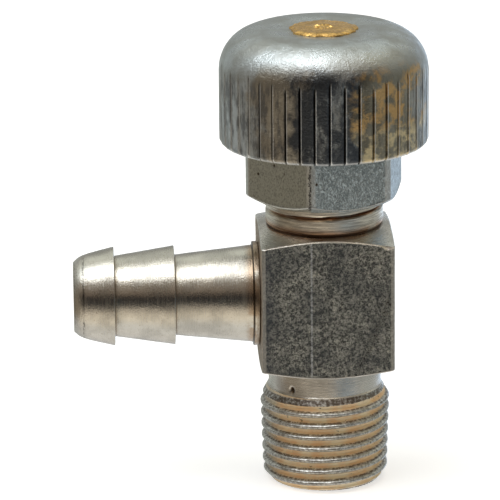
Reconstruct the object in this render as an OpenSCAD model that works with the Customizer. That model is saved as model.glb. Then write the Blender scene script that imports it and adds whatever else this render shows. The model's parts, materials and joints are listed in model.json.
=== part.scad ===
// Manual air vent for a radiator or heating pipe.
// A square brass block has a taper-threaded inlet below, a barbed hose tail on one side and a
// threaded neck above. A pressed steel handwheel turns a spindle whose ball closes the seat.
// The origin is on the vertical axis, at the lower end of the inlet thread.

/* [Square block] */
// Width of the block across its flats
block_w = 10; // [9.6:0.1:10.6]
// Height of the lower edge of the block above the end of the inlet thread
block_z = 9; // [8.8:0.1:9.4]
// Height of the block between its two turned shoulders
block_h = 11; // [10.6:0.1:11.4]
// Slope of the turned shoulders
shoulder_slope = 15; // [10:1:18]
// Radius of the block's upright edges
block_edge = 0.3; // [0.2:0.05:0.5]

/* [Inlet thread] */
// Crest diameter at the small end of the taper thread
inlet_d = 9.44; // [9.3:0.02:9.6]
// Distance between two crests
inlet_pitch = 0.907; // [0.85:0.001:0.95]
// Number of crests
inlet_turns = 8; // [7:1:8]
// Diameter of the inlet bore
inlet_bore_d = 5; // [4.6:0.1:5.2]

/* [Neck] */
// Crest diameter of the neck thread
neck_d = 8.9; // [8.8:0.02:9]
// Height of the neck above the block
neck_h = 4.6; // [4.4:0.1:4.8]
// Distance between two crests of the neck thread
neck_pitch = 0.75; // [0.7:0.01:0.8]
// Diameter of the stuffing box inside the neck
box_d = 6.2; // [6:0.05:6.3]

/* [Gland nut] */
// Width of the nut across its flats
nut_w = 11; // [10.8:0.1:11.4]
// Height of the nut
nut_h = 5.8; // [5.6:0.1:6]
// Height of the nut's lower face above the block
nut_lift = 2.2; // [2.1:0.05:2.4]
// Turn of the nut about the vertical axis
nut_turn = 17.4; // [0:0.2:60]

/* [Handwheel] */
// Outer diameter of the handwheel
wheel_d = 15.7; // [15.4:0.1:16]
// Height of the handwheel
wheel_h = 8.8; // [8.6:0.1:9]
// Height of the handwheel's rim above the block, with the valve closed
wheel_lift = 6.35; // [6.2:0.05:6.5]
// Thickness of the pressed steel
wheel_wall = 0.9; // [0.7:0.1:1]
// Radius of the handwheel's shoulder
wheel_shoulder = 3; // [2.6:0.1:3.2]
// Number of grip grooves
groove_count = 44; // [36:1:48]
// Depth of a grip groove
groove_depth = 0.2; // [0.1:0.02:0.3]

/* [Hose tail] */
// Height of the hose tail's axis above the end of the inlet thread
tail_z = 14.5; // [14.2:0.1:14.6]
// Length of the hose tail outside the block
tail_len = 14; // [13:0.5:16]
// Diameter of the barbs
barb_d = 7.5; // [7.4:0.05:7.6]
// Diameter in front of each barb
barb_root_d = 6.1; // [6:0.05:6.2]
// Diameter of the hose tail's bore
tail_bore_d = 4.2; // [4:0.1:4.4]

/* [Spindle and seat] */
// Diameter of the closing ball
ball_d = 3; // [2.8:0.1:3.2]
// Diameter of the seat's hole
seat_d = 2.2; // [2:0.1:2.3]
// Crest diameter of the spindle's lifting thread
screw_d = 5; // [4.9:0.02:5]
// Distance between two crests of the lifting thread
screw_pitch = 0.8; // [0.7:0.05:0.8]
// Diameter of the spindle's stem
stem_d = 4; // [3.9:0.05:4]
// Diameter of the riveted spindle end
rivet_d = 5.2; // [5:0.1:5.4]

/* [Hidden] */
$fn = 96;
cut = 0.01;              // overshoot of a cutting shape
slip = 0.05;             // radial clearance of the spindle and the packing
nut_slip = 0.07;         // radial clearance of the nut's thread
press_gap = 0.03;        // left between parts that are pressed or riveted together

block_top = block_z + block_h;
block_half = block_w / 2;

inlet_depth = 0.581;     // depth of the inlet thread
inlet_taper = 1 / 32;    // radius gained for each millimetre of height
inlet_crest = 0.16;      // width of a crest
inlet_foot = 0.76;       // width of a ridge at its root
inlet_first = 0.75;      // height of the first crest
inlet_parallel = [2, 5]; // first and last crest that is a short true cylinder
relief_r = inlet_d / 2 - 0.45;
relief_z = inlet_first + (inlet_turns - 0.4) * inlet_pitch;

chamber_d = 4.5;         // room around the ball and the spindle's nose
seat_z = 12.6;           // height of the seat's edge
chamber_top = 16.1;
seat_floor_z = 10.4;     // top of the inlet bore
screw_bore_d = screw_d + 2 * slip;

neck_top = block_top + neck_h;
neck_depth = 0.42;
neck_crest = 0.12;
neck_foot = 0.62;
neck_band = 1.3;         // plain band between the block and the neck thread
neck_first = block_top + neck_band + 0.62;
neck_end = neck_top - 0.1; // the neck's top edge is chamfered above this
neck_turns = floor((neck_end - neck_foot / 2 - neck_first) / neck_pitch) + 1;

nut_z = block_top + nut_lift;
nut_top = nut_z + nut_h;
nut_thread_top = neck_top + 0.4;
nut_corner_d = nut_w * 1.13;

wheel_z = block_top + wheel_lift;
wheel_top = wheel_z + wheel_h;
wheel_rim = 0.45;        // radius of the rounded rim
wheel_dome = 0.15;       // rise of the top from its shoulder to its middle
wheel_shoulder_z = wheel_top - wheel_dome - wheel_shoulder;
groove_w = 0.3;

spigot_d = 5.5;          // press-fitted end of the hose tail
spigot_len = 2;
side_hole_d = 2.8;       // from the chamber to the hose tail
collar_d = 7.9;
collar_w = 0.45;
barb_land = 0.2;         // short cylinder on the crest of each barb
barb_1 = 3.2;            // from the tip to the edge of each barb
barb_2 = 7.8;

seat_gap = 0.045;        // under the ball of the closed valve
ball_z = seat_z + sqrt(pow(ball_d / 2, 2) - pow(seat_d / 2, 2)) + seat_gap;
ball_gap = 0.03;         // between the ball and its socket
nose_d = 4.1;
nose_z = ball_z - 0.25;
screw_z = 16.2;
screw_len = 2.6;
screw_depth = 0.42;
wheel_ceiling = wheel_top - wheel_wall - wheel_dome;
flange_d = 6;            // flange of the spindle under the handwheel
flange_h = 1.1;
flange_top = wheel_ceiling - press_gap;
tenon_w = 2.9;           // square end that drives the handwheel
rivet_h = 0.25;

packing_z = block_top + 0.5;
packing_gap = 0.03;      // between neighbouring parts of the packing
washer_h = 0.4;
ring_h = 0.95;
follower_z = packing_z + washer_h + 3 * ring_h + 5 * packing_gap;
follower_top = nut_thread_top + 0.1;
packing_hole_d = stem_d + 2 * slip;

function inlet_r(z) = inlet_d / 2 + z * inlet_taper;

// The outline of one ridge of a thread, from its lower foot to its upper foot
function ridge(z, foot_w, crest_w, foot_low, crest_low, crest_high, foot_high) = [
    [foot_low, z - foot_w / 2],
    [crest_low, z - crest_w / 2],
    [crest_high, z + crest_w / 2],
    [foot_high, z + foot_w / 2]
];

// The ridges of a parallel thread. Its root radius is larger than its crest radius in a nut.
function parallel_ridges(first, pitch, turns, foot_w, crest_w, root_r, crest_r) = [
    for (i = [0 : turns - 1])
        each ridge(first + i * pitch, foot_w, crest_w, root_r, crest_r, crest_r, root_r)
];

// The ridges of the taper thread. A few crests near its middle are short true cylinders.
function inlet_ridges() = [
    for (i = [0 : inlet_turns - 1])
        let (
            z = inlet_first + i * inlet_pitch,
            half = inlet_crest / 2,
            is_parallel = i >= inlet_parallel[0] && i <= inlet_parallel[1],
            slope = is_parallel ? 0 : half
        )
        each ridge(
            z, inlet_foot, inlet_crest,
            inlet_r(z - inlet_foot / 2) - inlet_depth, inlet_r(z - slope),
            inlet_r(z + slope), inlet_r(z + inlet_foot / 2) - inlet_depth
        )
];

module bore(d, z_low, z_high) {
    translate([0, 0, z_low])
        cylinder(d = d, h = z_high - z_low);
}

module ring(outer_d, inner_d, z, h) {
    rotate_extrude()
        translate([inner_d / 2, z])
            square([(outer_d - inner_d) / 2, h]);
}

module rounded_square(w, r) {
    square([w, w - 2 * r], center = true);
    square([w - 2 * r, w], center = true);
    for (x = [-1, 1], y = [-1, 1])
        translate([x * (w / 2 - r), y * (w / 2 - r)])
            circle(r = r);
}

// Turned cones that cut the corners of the square block
module shoulder_cones() {
    reach = block_w;
    drop = (reach - neck_d / 2) * tan(shoulder_slope);
    rotate_extrude()
        polygon([
            [0, block_z], [neck_d / 2, block_z], [reach, block_z + drop],
            [reach, block_top - drop], [neck_d / 2, block_top], [0, block_top]
        ]);
}

module inlet_thread() {
    rotate_extrude()
        polygon(concat(
            [[0, 0], [inlet_r(0) - inlet_depth, 0]],
            inlet_ridges(),
            [[relief_r, relief_z], [relief_r, block_z + 1], [0, block_z + 1]]
        ));
}

module neck() {
    root_r = neck_d / 2 - neck_depth;
    rotate_extrude()
        polygon(concat(
            [
                [0, block_top - 1], [neck_d / 2, block_top - 1],
                [neck_d / 2, block_top + neck_band - 0.1],
                [root_r, block_top + neck_band + 0.2]
            ],
            parallel_ridges(
                neck_first, neck_pitch, neck_turns, neck_foot, neck_crest, root_r, neck_d / 2
            ),
            [[root_r, neck_end], [root_r - neck_top + neck_end, neck_top], [0, neck_top]]
        ));
}

module valve_body() {
    color("dimgray")
        difference() {
            union() {
                intersection() {
                    translate([0, 0, block_z])
                        linear_extrude(block_h)
                            rounded_square(block_w, block_edge);
                    shoulder_cones();
                }
                inlet_thread();
                neck();
            }
            bore(inlet_bore_d, -cut, seat_floor_z);
            bore(seat_d, seat_floor_z - 1, seat_z + 1);
            bore(chamber_d, seat_z, chamber_top + cut);
            bore(screw_bore_d, chamber_top, block_top + 0.51);
            bore(box_d, packing_z, neck_top + cut);
            translate([-block_half - cut, 0, tail_z])
                rotate([0, 90, 0])
                    cylinder(d = spigot_d + 2 * press_gap, h = spigot_len + 0.1 + cut);
            translate([-block_half, 0, tail_z])
                rotate([0, 90, 0])
                    cylinder(d = side_hole_d, h = block_half);
        }
}

// The outline's first coordinate is the radius and its second is the distance from the tip.
module hose_tail() {
    barb_r = barb_d / 2;
    root_r = barb_root_d / 2;
    bore_r = tail_bore_d / 2;
    tip_r = 2.72;
    tip_round = 0.45;
    collar_from = tail_len - collar_w;
    color("silver")
        translate([-block_half - tail_len, 0, tail_z])
            rotate([0, 90, 0])
                rotate_extrude()
                    polygon(concat(
                        [[bore_r, 0.25], [bore_r + 0.15, 0]],
                        [for (t = [0 : 15 : 90])
                            [tip_r - tip_round * (1 - sin(t)), tip_round * (1 - cos(t))]],
                        [
                            [barb_r, barb_1 - barb_land], [barb_r, barb_1],
                            [root_r, barb_1], [barb_r, barb_2 - barb_land], [barb_r, barb_2],
                            [root_r, barb_2], [barb_r - 0.05, collar_from],
                            [collar_d / 2, collar_from], [collar_d / 2, tail_len - press_gap],
                            [spigot_d / 2, tail_len - press_gap],
                            [spigot_d / 2, tail_len + spigot_len], [bore_r, tail_len + spigot_len]
                        ]
                    ));
}

module closing_ball() {
    color("gainsboro")
        translate([0, 0, ball_z])
            sphere(d = ball_d);
}

module spindle() {
    root_r = screw_d / 2 - screw_depth;
    socket_top = ball_z + ball_d / 2 + ball_gap;
    color("goldenrod") {
        difference() {
            union() {
                rotate_extrude()
                    polygon(concat(
                        [
                            [0, nose_z], [nose_d / 2 - 0.15, nose_z], [nose_d / 2, nose_z + 0.15],
                            [nose_d / 2, screw_z - 0.1]
                        ],
                        parallel_ridges(screw_z + 0.35, screw_pitch, 3, 0.66, 0.12, root_r, screw_d / 2),
                        [
                            [stem_d / 2, screw_z + screw_len],
                            [stem_d / 2, flange_top - flange_h], [flange_d / 2, flange_top - flange_h],
                            [flange_d / 2, flange_top], [0, flange_top]
                        ]
                    ));
                translate([-tenon_w / 2, -tenon_w / 2, wheel_ceiling - 0.5])
                    cube([tenon_w, tenon_w, wheel_top - wheel_ceiling + 0.6]);
                rivet_head();
            }
            translate([0, 0, ball_z])
                sphere(r = ball_d / 2 + ball_gap);
            translate([0, 0, nose_z - cut])
                cylinder(r = ball_d / 2 + ball_gap, h = ball_z - nose_z + cut);
        }
    }
}

// The peened end is flat on the handwheel, rounded at its edge and dimpled in the middle.
module rivet_head() {
    r = rivet_d / 2;
    base = wheel_top + press_gap;
    edge = base - wheel_dome * r / (wheel_d / 2 - wheel_shoulder);
    rotate_extrude()
        polygon([
            [0, base], [r, edge], [r, edge + rivet_h * 0.6], [r - 0.25, base + rivet_h],
            [0.9, base + rivet_h + 0.05], [0.35, base + rivet_h - 0.05], [0, base + rivet_h - 0.05]
        ]);
}

module packing_washer() {
    color("darkgoldenrod")
        ring(box_d - 2 * slip, packing_hole_d, packing_z + packing_gap, washer_h);
}

module packing_ring(i) {
    z = packing_z + washer_h + 2 * packing_gap + i * (ring_h + packing_gap);
    color("ivory")
        ring(box_d - 2 * slip, packing_hole_d, z, ring_h);
}

module gland_follower() {
    color("goldenrod")
        ring(box_d - 2 * slip, packing_hole_d, follower_z, follower_top - follower_z - packing_gap);
}

// Turned cones that chamfer the corners of the hexagon at both faces
module nut_cones() {
    face_r = nut_w * 0.485;
    rise = (nut_corner_d / 2 - face_r) * tan(30);
    rotate_extrude()
        polygon([
            [0, nut_z], [face_r, nut_z], [nut_corner_d / 2, nut_z + rise],
            [nut_corner_d / 2, nut_top - rise], [face_r, nut_top], [0, nut_top]
        ]);
}

module nut_thread_hole() {
    crest_r = neck_d / 2 + nut_slip;
    root_r = crest_r - neck_depth;
    rotate_extrude()
        polygon(concat(
            [[0, nut_z - cut], [crest_r, nut_z - cut], [crest_r - 0.05, nut_z]],
            [[root_r, neck_first + neck_pitch / 2]],
            parallel_ridges(
                neck_first + neck_pitch, neck_pitch, neck_turns - 1, neck_foot, neck_crest,
                root_r, crest_r
            ),
            [[root_r, nut_thread_top], [0, nut_thread_top]]
        ));
}

module gland_nut() {
    color("slategray")
        difference() {
            intersection() {
                translate([0, 0, nut_z])
                    rotate([0, 0, nut_turn])
                        cylinder(d = nut_w / cos(30), h = nut_h, $fn = 6);
                nut_cones();
            }
            nut_thread_hole();
            bore(box_d, nut_thread_top - 1, follower_top);
            bore(packing_hole_d + 0.2, nut_thread_top, nut_top + cut);
        }
}

// Half of the shell's outline: a round rim, a straight side, a round shoulder and a low dome
function shell_points(r, z_low, rim, shoulder, z_shoulder, z_top) = concat(
    [for (t = [-90 : 15 : 0]) [r - rim + rim * cos(t), z_low + rim + rim * sin(t)]],
    [for (t = [0 : 7.5 : 90])
        [r - shoulder + shoulder * cos(t), z_shoulder + shoulder * sin(t)]],
    [[0, z_top]]
);

module grip_groove() {
    translate([wheel_d / 2 - groove_depth, 0, wheel_z - 1])
        linear_extrude(wheel_shoulder_z - 0.6 - wheel_z + 1)
            polygon([[0, 0], [groove_depth + 1, -groove_w * 2], [groove_depth + 1, groove_w * 2]]);
}

module handwheel() {
    inner_r = wheel_d / 2 - wheel_wall;
    inner_shoulder = wheel_shoulder - wheel_wall;
    color("lightslategray")
        difference() {
            rotate_extrude()
                polygon(concat(
                    [[0, wheel_z]],
                    shell_points(
                        wheel_d / 2, wheel_z, wheel_rim, wheel_shoulder, wheel_shoulder_z, wheel_top
                    )
                ));
            rotate_extrude()
                polygon(concat(
                    [[0, wheel_z - 1], [inner_r, wheel_z - 1]],
                    [for (t = [0 : 15 : 90])
                        [inner_r - inner_shoulder + inner_shoulder * cos(t),
                            wheel_shoulder_z + inner_shoulder * sin(t)]],
                    [[0, wheel_ceiling]]
                ));
            translate([-tenon_w / 2 - press_gap, -tenon_w / 2 - press_gap, wheel_ceiling - 1])
                cube([tenon_w + 2 * press_gap, tenon_w + 2 * press_gap, 3]);
            for (i = [0 : groove_count - 1])
                rotate([0, 0, i * 360 / groove_count])
                    grip_groove();
        }
}

valve_body();
hose_tail();
closing_ball();
spindle();
packing_washer();
packing_ring(0);  // packing_ring_lower
packing_ring(1);  // packing_ring_middle
packing_ring(2);  // packing_ring_upper
gland_follower();
gland_nut();
handwheel();
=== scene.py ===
"""Looks of the manual air vent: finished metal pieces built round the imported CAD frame."""

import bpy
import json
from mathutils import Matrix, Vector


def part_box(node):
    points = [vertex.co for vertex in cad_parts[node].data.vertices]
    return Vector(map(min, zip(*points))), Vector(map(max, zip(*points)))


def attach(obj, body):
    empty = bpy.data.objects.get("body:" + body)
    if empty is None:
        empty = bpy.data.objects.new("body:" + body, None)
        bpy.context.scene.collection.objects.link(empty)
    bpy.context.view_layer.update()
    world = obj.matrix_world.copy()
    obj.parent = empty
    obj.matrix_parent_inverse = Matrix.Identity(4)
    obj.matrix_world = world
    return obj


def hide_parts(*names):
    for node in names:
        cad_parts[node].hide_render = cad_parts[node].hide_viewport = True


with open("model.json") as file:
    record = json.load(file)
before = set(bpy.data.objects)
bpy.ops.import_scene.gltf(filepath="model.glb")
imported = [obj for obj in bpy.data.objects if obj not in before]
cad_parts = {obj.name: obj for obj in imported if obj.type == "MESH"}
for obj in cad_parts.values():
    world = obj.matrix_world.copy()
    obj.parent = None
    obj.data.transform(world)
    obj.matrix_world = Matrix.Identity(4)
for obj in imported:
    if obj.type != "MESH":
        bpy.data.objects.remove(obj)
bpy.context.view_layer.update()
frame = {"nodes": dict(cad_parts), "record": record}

import json
import math

import bmesh
import bpy
import numpy as np
from mathutils import Vector, noise

MM = 0.001


# ---------------------------------------------------------------- sizes, in mm, from the frame


def node_box(node):
    """Lowest and highest corners of a CAD node, in mm."""
    low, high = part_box(node)
    return [v / MM for v in low], [v / MM for v in high]


def mount(name):
    """One of the record's mounts."""
    return next(m for m in frame["record"]["mounts"] if m["name"] == name)


BODY_HIGH = node_box("valve_body")[1]
NUT_LOW, NUT_HIGH = node_box("gland_nut")
WHEEL_LOW, WHEEL_HIGH = node_box("handwheel")
TAIL_LOW, TAIL_HIGH = node_box("hose_tail")
SPINDLE_LOW = node_box("spindle")[0]
BALL_LOW, BALL_HIGH = node_box("closing_ball")

BLOCK_HALF = BODY_HIGH[0]
BLOCK_HEIGHT = 11
BLOCK_EDGE = 0.3
SHOULDER = math.tan(math.radians(15))
NECK_TOP = BODY_HIGH[2]
NECK_HEIGHT = 4.6
NECK_R = 4.45
NECK_PITCH = 0.75
NECK_GROOVE = 1.44
RELIEF_R = 4.27
BLOCK_TOP = NECK_TOP - NECK_HEIGHT
BLOCK_BOTTOM = BLOCK_TOP - BLOCK_HEIGHT

INLET_PITCH = 0.907
INLET_DEPTH = 0.56
INLET_TAPER = 1 / 32
INLET_R = 4.72
INLET_CREST = 0.058
INLET_RUN_OUT = 5.9
THREAD_END = 7.3
INLET_BORE_R = mount("inlet_bore")["dims"]["r_mm"]
INLET_BORE_TOP = mount("inlet_bore")["dims"]["length_mm"]
SEAT_R = 1.1
SEAT_Z = 12.6
CHAMBER_R = 2.25
CHAMBER_TOP = 16.1
SCREW_R = 2.5
SCREW_PITCH = 0.8
SCREW_LOW = 16.15
SCREW_HIGH = 18.8
BOX_R = 3.1
BOX_Z = BLOCK_TOP + 0.5

NUT_HALF = 5.5
NUT_TURN = math.radians(17.4)
STEM_R = 2.0

WHEEL_R = WHEEL_HIGH[0]
WHEEL_Z = WHEEL_LOW[2]
WHEEL_TOP = WHEEL_HIGH[2]
WHEEL_WALL = 0.9
WHEEL_SHOULDER = 3.0
WHEEL_DOME = 0.15
WHEEL_DISH = 0.22
GROOVES = 44
TENON_HALF = 1.45

TAIL_TIP = TAIL_LOW[0]
TAIL_LENGTH = -BLOCK_HALF - TAIL_TIP
TAIL_Z = (TAIL_LOW[2] + TAIL_HIGH[2]) / 2
TAIL_BORE_R = mount("outlet_bore")["dims"]["r_mm"]
COLLAR_R = (TAIL_HIGH[2] - TAIL_LOW[2]) / 2
COLLAR_X = -BLOCK_HALF - 0.47

GUARD = 0.15  # gap between a rounded edge and the next row, which keeps the shading of flats flat


# ---------------------------------------------------------------- outlines and turned meshes


def lerp(a, b, t):
    return a + (b - a) * t


def smooth(x, low=0.0, high=1.0):
    """0 below low, 1 above high, and a smooth step between them."""
    t = np.clip((np.asarray(x, float) - low) / (high - low), 0, 1)
    return t * t * (3 - 2 * t)


def outline(corners, closed=True):
    """Rows (radius, height, kind, wear and shade) along a path of corners.

    Each corner is (radius, height, rounding, kind, spacing). kind names the surface after the corner,
    and spacing, if it isn't 0, cuts that surface into rows. The wear and shade number is 1 on outer
    edges, 0 in inner corners and 0.5 on plain surfaces; materials lighten its high end as wear and darken
    its low end, partly as painted shade.
    """
    rows = []
    count = len(corners)
    for i, (r, z, edge, kind, spacing) in enumerate(corners):
        here = Vector((r, z))
        before = Vector(corners[i - 1][:2])
        after = Vector(corners[(i + 1) % count][:2])
        is_end = not closed and i in (0, count - 1)
        if is_end or edge == 0:
            rows.append((r, z, kind, 0.5))
            first = here
        else:
            back = (before - here).normalized()
            ahead = (after - here).normalized()
            cross = back.x * ahead.y - back.y * ahead.x
            wear = 1.0 if cross < 0 else 0.0
            guard = min(GUARD, (before - here).length / 3, (after - here).length / 3)
            last_kind = corners[i - 1][3]
            start, end = here + back * edge, here + ahead * edge
            rows.append((*(start + back * guard), last_kind, 0.5))
            for t in (0, 0.25, 0.5, 0.75, 1):
                point = start.lerp(here, t).lerp(here.lerp(end, t), t)
                bend_kind = kind if t >= 0.5 else last_kind
                rows.append((*point, bend_kind, lerp(0.5, wear, 1 - abs(2 * t - 1) * 0.5)))
            first = end + ahead * guard
            rows.append((*first, kind, 0.5))
        if spacing and not (is_end and i == count - 1):
            edge_after = corners[(i + 1) % count][2]
            last = after + (first - after).normalized() * (edge_after + GUARD if edge_after else 0)
            parts = max(1, round((last - first).length / spacing))
            for k in range(1, parts):
                rows.append((*first.lerp(last, k / parts), kind, 0.5))
    return rows


def revolve(name, rows, angles, shape, paints, body, closed=True, place=None):
    """A mesh turned from rows of an outline, riding on a body.

    shape(kind, r, z, wear and shade, angles) gives one row's radii, heights and wear and shade
    numbers at the angles. paints gives each kind's material. place turns (x, y, z) arrays in mm into
    the row frame.
    """
    rings, wear_and_shade_rings = [], []
    for r, z, kind, wear in rows:
        ring_r, ring_z, ring_wear_and_shade = shape(kind, r, z, wear, angles)
        flat = np.ones_like(angles)
        ring = np.stack([ring_r * np.cos(angles), ring_r * np.sin(angles), ring_z * flat], axis=-1)
        rings.append(ring)
        wear_and_shade_rings.append(ring_wear_and_shade * flat)
    points = np.concatenate(rings)
    if place:
        points = place(points)
    steps = len(angles)
    materials = list(dict.fromkeys(paints.values()))
    faces, slots = [], []
    for i in range(len(rows) if closed else len(rows) - 1):
        low, high = i * steps, (i + 1) % len(rows) * steps
        slot = materials.index(paints[rows[i][2]])
        for j in range(steps):
            k = (j + 1) % steps
            faces.append((low + j, low + k, high + k, high + j))
            slots.append(slot)
    mesh = bpy.data.meshes.new(name)
    mesh.from_pydata((points * MM).tolist(), [], faces)
    mesh.polygons.foreach_set("material_index", slots)
    wear_and_shade_layer = mesh.attributes.new("wear", "FLOAT", "POINT")
    wear_and_shade_layer.data.foreach_set("value", np.concatenate(wear_and_shade_rings))
    for material in materials:
        mesh.materials.append(material)
    piece = bpy.data.objects.new(name, mesh)
    bpy.context.collection.objects.link(piece)
    tidy_mesh(mesh)
    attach(piece, body)
    return piece


def tidy_mesh(mesh, sharp_angle=38):
    """Joins doubled points, faces every polygon outwards and marks sharp edges."""
    work = bmesh.new()
    work.from_mesh(mesh)
    bmesh.ops.remove_doubles(work, verts=work.verts, dist=1e-7)
    bmesh.ops.recalc_face_normals(work, faces=work.faces)
    if work.calc_volume(signed=True) < 0:
        bmesh.ops.reverse_faces(work, faces=work.faces)
    for face in work.faces:
        face.smooth = True
    for edge in work.edges:
        if len(edge.link_faces) == 2:
            edge.smooth = edge.calc_face_angle(0) < math.radians(sharp_angle)
    work.to_mesh(mesh)
    work.free()


def even_angles(steps):
    return np.linspace(0, 2 * math.pi, steps, endpoint=False)


def corner_angles(steps, sides, turn, strength):
    """Angles that crowd together at the corners of a regular polygon, whose first corner is at turn."""
    even = even_angles(steps)
    return turn + even - strength / sides * np.sin(sides * even)


def polygon_radius(angles, sides, half, turn, rounding):
    """Radius at each angle of a regular polygon whose first corner is at turn, with rounded corners."""
    sector = 2 * math.pi / sides
    off = (angles - turn + sector / 2) % sector - sector / 2
    off_flat = sector / 2 - np.abs(off)
    flat = half / np.cos(off_flat)
    # the corner's circle, whose centre lies on the corner's ray
    centre = (half - rounding) / math.cos(sector / 2)
    reach = centre * np.cos(off) + np.sqrt(np.maximum(rounding**2 - (centre * np.sin(off)) ** 2, 0))
    tangent = math.atan2((half - rounding) * math.tan(sector / 2), half)
    return np.where(off_flat > tangent, reach, flat)


def ripple(x, y, z, scale, seed=0.0):
    """Smooth noise from -1 to 1 at points given in mm."""
    x, y, z = np.broadcast_arrays(x, y, z)
    values = [
        noise.noise(Vector((a * scale + seed, b * scale - seed, c * scale)))
        for a, b, c in zip(x.ravel(), y.ravel(), z.ravel())
    ]
    return np.array(values).reshape(x.shape)


def thread_wave(phase, crest_share, root_share=0.9):
    """1 on the crest and 0 in the root of a thread, at a phase counted in turns from the crest."""
    away = np.abs((phase + 0.5) % 1 - 0.5) * 2
    return 1 - smooth(away, crest_share, root_share)


def neck_groove(z, angles):
    """1 in the neck thread's groove, where the gland nut's own thread runs, and 0 on its crests."""
    phase = (z - BLOCK_TOP - NECK_GROOVE) / NECK_PITCH - angles / (2 * math.pi) - 0.25
    return thread_wave(phase, 0.1, 0.5)


# ---------------------------------------------------------------- materials


class Paint:
    """One material's node tree, with a short call for each kind of node that it uses."""

    def __init__(self, name):
        self.material = bpy.data.materials.new(name)
        self.material.use_nodes = True
        self.nodes = self.material.node_tree.nodes
        self.links = self.material.node_tree.links
        self.nodes.clear()
        self.shader = self.nodes.new("ShaderNodeBsdfPrincipled")
        out = self.nodes.new("ShaderNodeOutputMaterial")
        self.links.new(self.shader.outputs["BSDF"], out.inputs["Surface"])
        self.place = self.nodes.new("ShaderNodeTexCoord").outputs["Object"]

    def feed(self, socket, value):
        """Links or sets one input."""
        if isinstance(value, bpy.types.NodeSocket):
            self.links.new(value, socket)
        elif isinstance(value, tuple) and len(value) == 3 and socket.type == "RGBA":
            socket.default_value = (*value, 1)
        else:
            socket.default_value = value

    def mm(self, stretch=(1, 1, 1)):
        """Object coordinates in mm, stretched along each axis."""
        node = self.nodes.new("ShaderNodeMapping")
        node.inputs["Scale"].default_value = [s / MM for s in stretch]
        self.links.new(self.place, node.inputs["Vector"])
        return node.outputs["Vector"]

    def axis(self, name):
        """One object coordinate, in mm."""
        node = self.nodes.new("ShaderNodeSeparateXYZ")
        self.links.new(self.mm(), node.inputs["Vector"])
        return node.outputs[name]

    def noise(self, scale, detail=3.0, rough=0.55, stretch=(1, 1, 1), warp=0.0):
        node = self.nodes.new("ShaderNodeTexNoise")
        self.links.new(self.mm(stretch), node.inputs["Vector"])
        node.inputs["Scale"].default_value = scale
        node.inputs["Detail"].default_value = detail
        node.inputs["Roughness"].default_value = rough
        node.inputs["Distortion"].default_value = warp
        return node.outputs["Fac"]

    def cells(self, scale):
        """Distance to the nearest of scattered points."""
        node = self.nodes.new("ShaderNodeTexVoronoi")
        self.links.new(self.mm(), node.inputs["Vector"])
        node.inputs["Scale"].default_value = scale
        return node.outputs["Distance"]

    def math(self, operation, a, b=0.0):
        node = self.nodes.new("ShaderNodeMath")
        node.operation = operation
        self.feed(node.inputs[0], a)
        self.feed(node.inputs[1], b)
        return node.outputs[0]

    def times(self, a, b):
        return self.math("MULTIPLY", a, b)

    def plus(self, a, b):
        return self.math("ADD", a, b)

    def near(self, value, middle, core, reach, strength=1.0):
        """strength within core of a middle value, falling to 0 at reach from it."""
        away = self.math("ABSOLUTE", self.math("SUBTRACT", value, middle))
        return self.step(away, core, reach, strength, 0.0)

    def step(self, value, low, high, to_low=0.0, to_high=1.0):
        """value mapped smoothly from low..high to to_low..to_high, and held beyond them."""
        node = self.nodes.new("ShaderNodeMapRange")
        node.interpolation_type = "SMOOTHSTEP"
        self.feed(node.inputs["Value"], value)
        self.feed(node.inputs["From Min"], low)
        self.feed(node.inputs["From Max"], high)
        self.feed(node.inputs["To Min"], to_low)
        self.feed(node.inputs["To Max"], to_high)
        return node.outputs["Result"]

    def mix(self, share, a, b):
        """Colour a where share is 0 and b where it is 1."""
        node = self.nodes.new("ShaderNodeMix")
        node.data_type = "RGBA"
        self.feed(node.inputs["Factor"], share)
        self.feed(node.inputs[6], a)
        self.feed(node.inputs[7], b)
        return node.outputs[2]

    def wear(self):
        """The mesh's wear and shade number: 0 in hollows, where some materials paint shade, 0.5 plain, 1
        on outer edges, which take wear and, on the handwheel, a painted highlight.
        """
        node = self.nodes.new("ShaderNodeAttribute")
        node.attribute_name = "wear"
        return node.outputs["Fac"]

    def bump(self, height, depth):
        """A bump whose height of 1 stands depth mm high."""
        node = self.nodes.new("ShaderNodeBump")
        node.inputs["Distance"].default_value = depth * MM
        self.feed(node.inputs["Height"], height)
        return node.outputs["Normal"]

    def done(self, colour, roughness, normal=None, metallic=1.0):
        """Feeds the shader and gives the finished material."""
        self.feed(self.shader.inputs["Base Color"], colour)
        self.feed(self.shader.inputs["Roughness"], roughness)
        self.feed(self.shader.inputs["Metallic"], metallic)
        if normal is not None:
            self.links.new(normal, self.shader.inputs["Normal"])
        return self.material


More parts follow.
